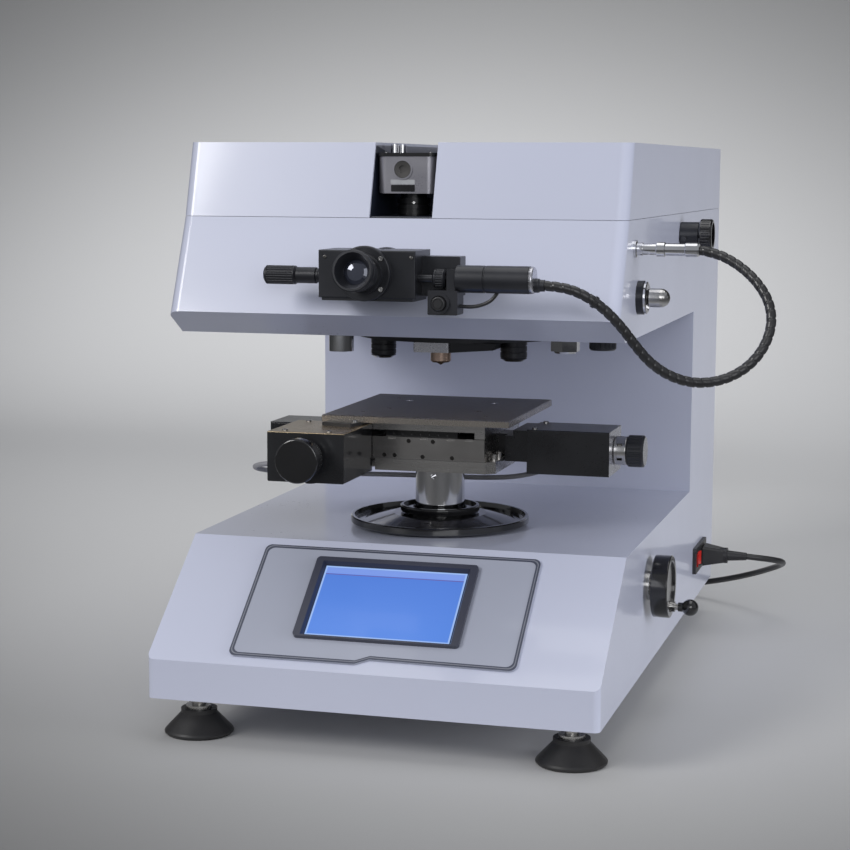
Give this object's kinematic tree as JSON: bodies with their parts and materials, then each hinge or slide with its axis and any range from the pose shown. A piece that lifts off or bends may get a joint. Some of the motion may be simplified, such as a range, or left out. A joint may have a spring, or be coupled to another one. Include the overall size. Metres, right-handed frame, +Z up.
{
  "type": "hardness tester",
  "caption": "Bench hardness tester with wedge base, handwheel-raised motorised cross stage, indenter turret, filar eyepiece, slot camera and slanted touch panel.",
  "frame": {"origin": "on the bench, on the elevating spindle's axis", "axes": "+X to the right seen from the front, +Y to the back of the instrument, +Z up along the spindle"},
  "size_m": [0.4351, 0.675, 0.432],
  "materials": {
    "housing_paint": "glossy pale lavender grey stoved enamel",
    "dark_liner": "dark satin paint",
    "cast_frame": "machined and primed casting",
    "foot_rubber": "black moulded rubber",
    "zinc_steel": "plated steel",
    "panel_silver": "silver grey panel, bare",
    "screen": "blue display glass, bare",
    "circuit": "board and components",
    "black_plastic": "black plastic",
    "red_plastic": "red rocker",
    "bronze": "bearing bronze and steel washers",
    "gear_steel": "ground steel",
    "black_gloss": "glossy black",
    "chrome_steel": "polished chrome",
    "black_anodised": "black anodised",
    "brown_steel": "burnished tool steel",
    "stage_steel": "bright ground steel",
    "camera_metal": "dark grey metal",
    "cable": "black cable",
    "grey_cable": "grey cable"
  },
  "bodies": {
    "housing": {"base_casing": "housing_paint", "bottom_plate": "housing_paint", "column_casing": "housing_paint", "rear_panel": "housing_paint", "head_casing": "housing_paint", "head_cover": "housing_paint", "slot_liner": "dark_liner", "main_frame": "cast_frame", "feet": "foot_rubber", "foot_studs": "zinc_steel", "front_panel": "panel_silver", "touch_screen": "screen", "electronics": "circuit", "mains_inlet": "black_plastic", "bearings": "bronze", "head_fittings": "chrome_steel", "optics_block": "black_anodised", "slot_camera": "camera_metal", "filar_box": "black_anodised", "encoder": "black_anodised", "button_block": "black_anodised", "loom_plug": "chrome_steel", "loom": "cable", "button_lead": "cable", "mains_lead": "cable", "mains_coil": "cable", "inlet_plug": "black_plastic", "wall_plug": "black_plastic"},
    "rocker": {"power_rocker": "red_plastic"},
    "nut": {"elevating_nut": "gear_steel", "spindle_wheel": "black_gloss"},
    "lift": {"spindle": "chrome_steel", "stage_base": "stage_steel"},
    "y_slide": {"y_carriage": "stage_steel", "y_motor_box": "black_anodised", "x_motor_box": "black_anodised", "limit_switch_box": "black_plastic", "stage_motors": "black_anodised", "stage_lead": "grey_cable"},
    "y_drive": {"y_screw": "black_anodised"},
    "x_slide": {"x_carriage": "stage_steel", "stage_plate": "brown_steel"},
    "x_drive": {"x_screw": "black_anodised"},
    "cross_shaft": {"handwheel_shaft": "gear_steel", "handwheel": "black_gloss"},
    "crank": {"crank_knob": "black_gloss"},
    "turret_head": {"turret": "gear_steel", "objectives": "black_anodised"},
    "indenter_body": {"indenter": "gear_steel"},
    "turret_drive": {"turret_pinion": "gear_steel"},
    "lever": {"load_lever": "gear_steel", "deadweights": "gear_steel"},
    "selector": {"force_selector": "black_anodised"},
    "path": {"path_slide": "chrome_steel"},
    "left_line": {"left_hair_frame": "gear_steel"},
    "left_measuring_drum": {"left_drum": "black_anodised"},
    "right_line": {"right_hair_frame": "gear_steel"},
    "right_thumbwheel": {"thumbwheel": "black_anodised"},
    "eye_tube": {"eyepiece": "black_anodised"},
    "button": {"record_button": "cable"}
  },
  "joints": [
    {"name": "spindle_lift", "type": "slide", "parent": "housing", "child": "lift", "axis": [0, 0, 1], "range_m": [-0.018, 0.032]},
    {"name": "nut_turn", "type": "hinge", "parent": "housing", "child": "nut", "pos_m": [0, 0, 0.09], "axis": [0, 0, 1], "range_deg": [-2320, 2320]},
    {"name": "handwheel_turn", "type": "hinge", "parent": "housing", "child": "cross_shaft", "pos_m": [0.17, 0, 0.097], "axis": [1, 0, 0], "range_deg": [-4920, 4920]},
    {"name": "crank_knob_spin", "type": "hinge", "parent": "cross_shaft", "child": "crank", "pos_m": [0.197, 0.01025, 0.07925], "axis": [1, 0, 0], "continuous": true},
    {"name": "y_slide", "type": "slide", "parent": "lift", "child": "y_slide", "axis": [0, 1, 0], "range_m": [-0.0125, 0.0125]},
    {"name": "y_screw_turn", "type": "hinge", "parent": "y_slide", "child": "y_drive", "pos_m": [-0.0675, 0, 0.2035], "axis": [0, 1, 0], "range_deg": [-2260, 2260]},
    {"name": "x_slide", "type": "slide", "parent": "y_slide", "child": "x_slide", "axis": [1, 0, 0], "range_m": [-0.0125, 0.0125]},
    {"name": "x_screw_turn", "type": "hinge", "parent": "y_slide", "child": "x_drive", "pos_m": [0.15, 0, 0.2005], "axis": [1, 0, 0], "range_deg": [-2260, 2260]},
    {"name": "turret_turn", "type": "hinge", "parent": "housing", "child": "turret_head", "pos_m": [0, 0.075, 0.289], "axis": [0, 0, 1], "range_deg": [-45, 45]},
    {"name": "turret_pinion_turn", "type": "hinge", "parent": "housing", "child": "turret_drive", "pos_m": [0.0405, 0.075, 0.309], "axis": [0, 0, 1], "range_deg": [-130, 130]},
    {"name": "lever_tilt", "type": "hinge", "parent": "housing", "child": "lever", "pos_m": [0, 0.15, 0.322], "axis": [1, 0, 0], "range_deg": [0, 0.381]},
    {"name": "indenter_plunge", "type": "slide", "parent": "turret_head", "child": "indenter_body", "axis": [0, 0, 1], "range_m": [-0.001, 0]},
    {"name": "force_selector_turn", "type": "hinge", "parent": "housing", "child": "selector", "pos_m": [0.17, 0.131, 0.361], "axis": [1, 0, 0], "range_deg": [0, 300]},
    {"name": "light_path_pull", "type": "slide", "parent": "housing", "child": "path", "axis": [1, 0, 0], "range_m": [0, 0.012]},
    {"name": "left_drum_turn", "type": "hinge", "parent": "housing", "child": "left_measuring_drum", "pos_m": [-0.07, -0.169, 0.339], "axis": [1, 0, 0], "range_deg": [-1445, 1445]},
    {"name": "left_line_slide", "type": "slide", "parent": "housing", "child": "left_line", "axis": [1, 0, 0], "range_m": [-0.002, 0.002]},
    {"name": "thumbwheel_turn", "type": "hinge", "parent": "housing", "child": "right_thumbwheel", "pos_m": [0.048, -0.179, 0.339], "axis": [1, 0, 0], "range_deg": [-1445, 1445]},
    {"name": "right_line_slide", "type": "slide", "parent": "housing", "child": "right_line", "axis": [1, 0, 0], "range_m": [-0.002, 0.002]},
    {"name": "eyepiece_turn", "type": "hinge", "parent": "housing", "child": "eye_tube", "pos_m": [-0.003, -0.1965, 0.342], "axis": [0, -0.9877, 0.1564], "range_deg": [-60, 60]},
    {"name": "record_button_press", "type": "slide", "parent": "housing", "child": "button", "axis": [0, 1, 0], "range_m": [0, 0.0015], "stiffness_N_per_m": 300},
    {"name": "power_rocker_tilt", "type": "hinge", "parent": "housing", "child": "rocker", "pos_m": [0.165, 0.2565, 0.07], "axis": [0, 0, 1], "range_deg": [-8, 8]}
  ],
  "couplings": [
    {"joint": "nut_turn", "follows": "spindle_lift", "rad_per_m": -1256.6},
    {"joint": "handwheel_turn", "follows": "spindle_lift", "rad_per_m": -2670.4},
    {"joint": "y_screw_turn", "follows": "y_slide", "rad_per_m": 3141.6},
    {"joint": "x_screw_turn", "follows": "x_slide", "rad_per_m": -3141.6},
    {"joint": "turret_pinion_turn", "follows": "turret_turn", "ratio": -2.8571},
    {"joint": "indenter_plunge", "follows": "lever_tilt", "m_per_rad": -0.15},
    {"joint": "left_drum_turn", "follows": "left_line_slide", "rad_per_m": -12566},
    {"joint": "thumbwheel_turn", "follows": "right_line_slide", "rad_per_m": -12566}
  ]
}
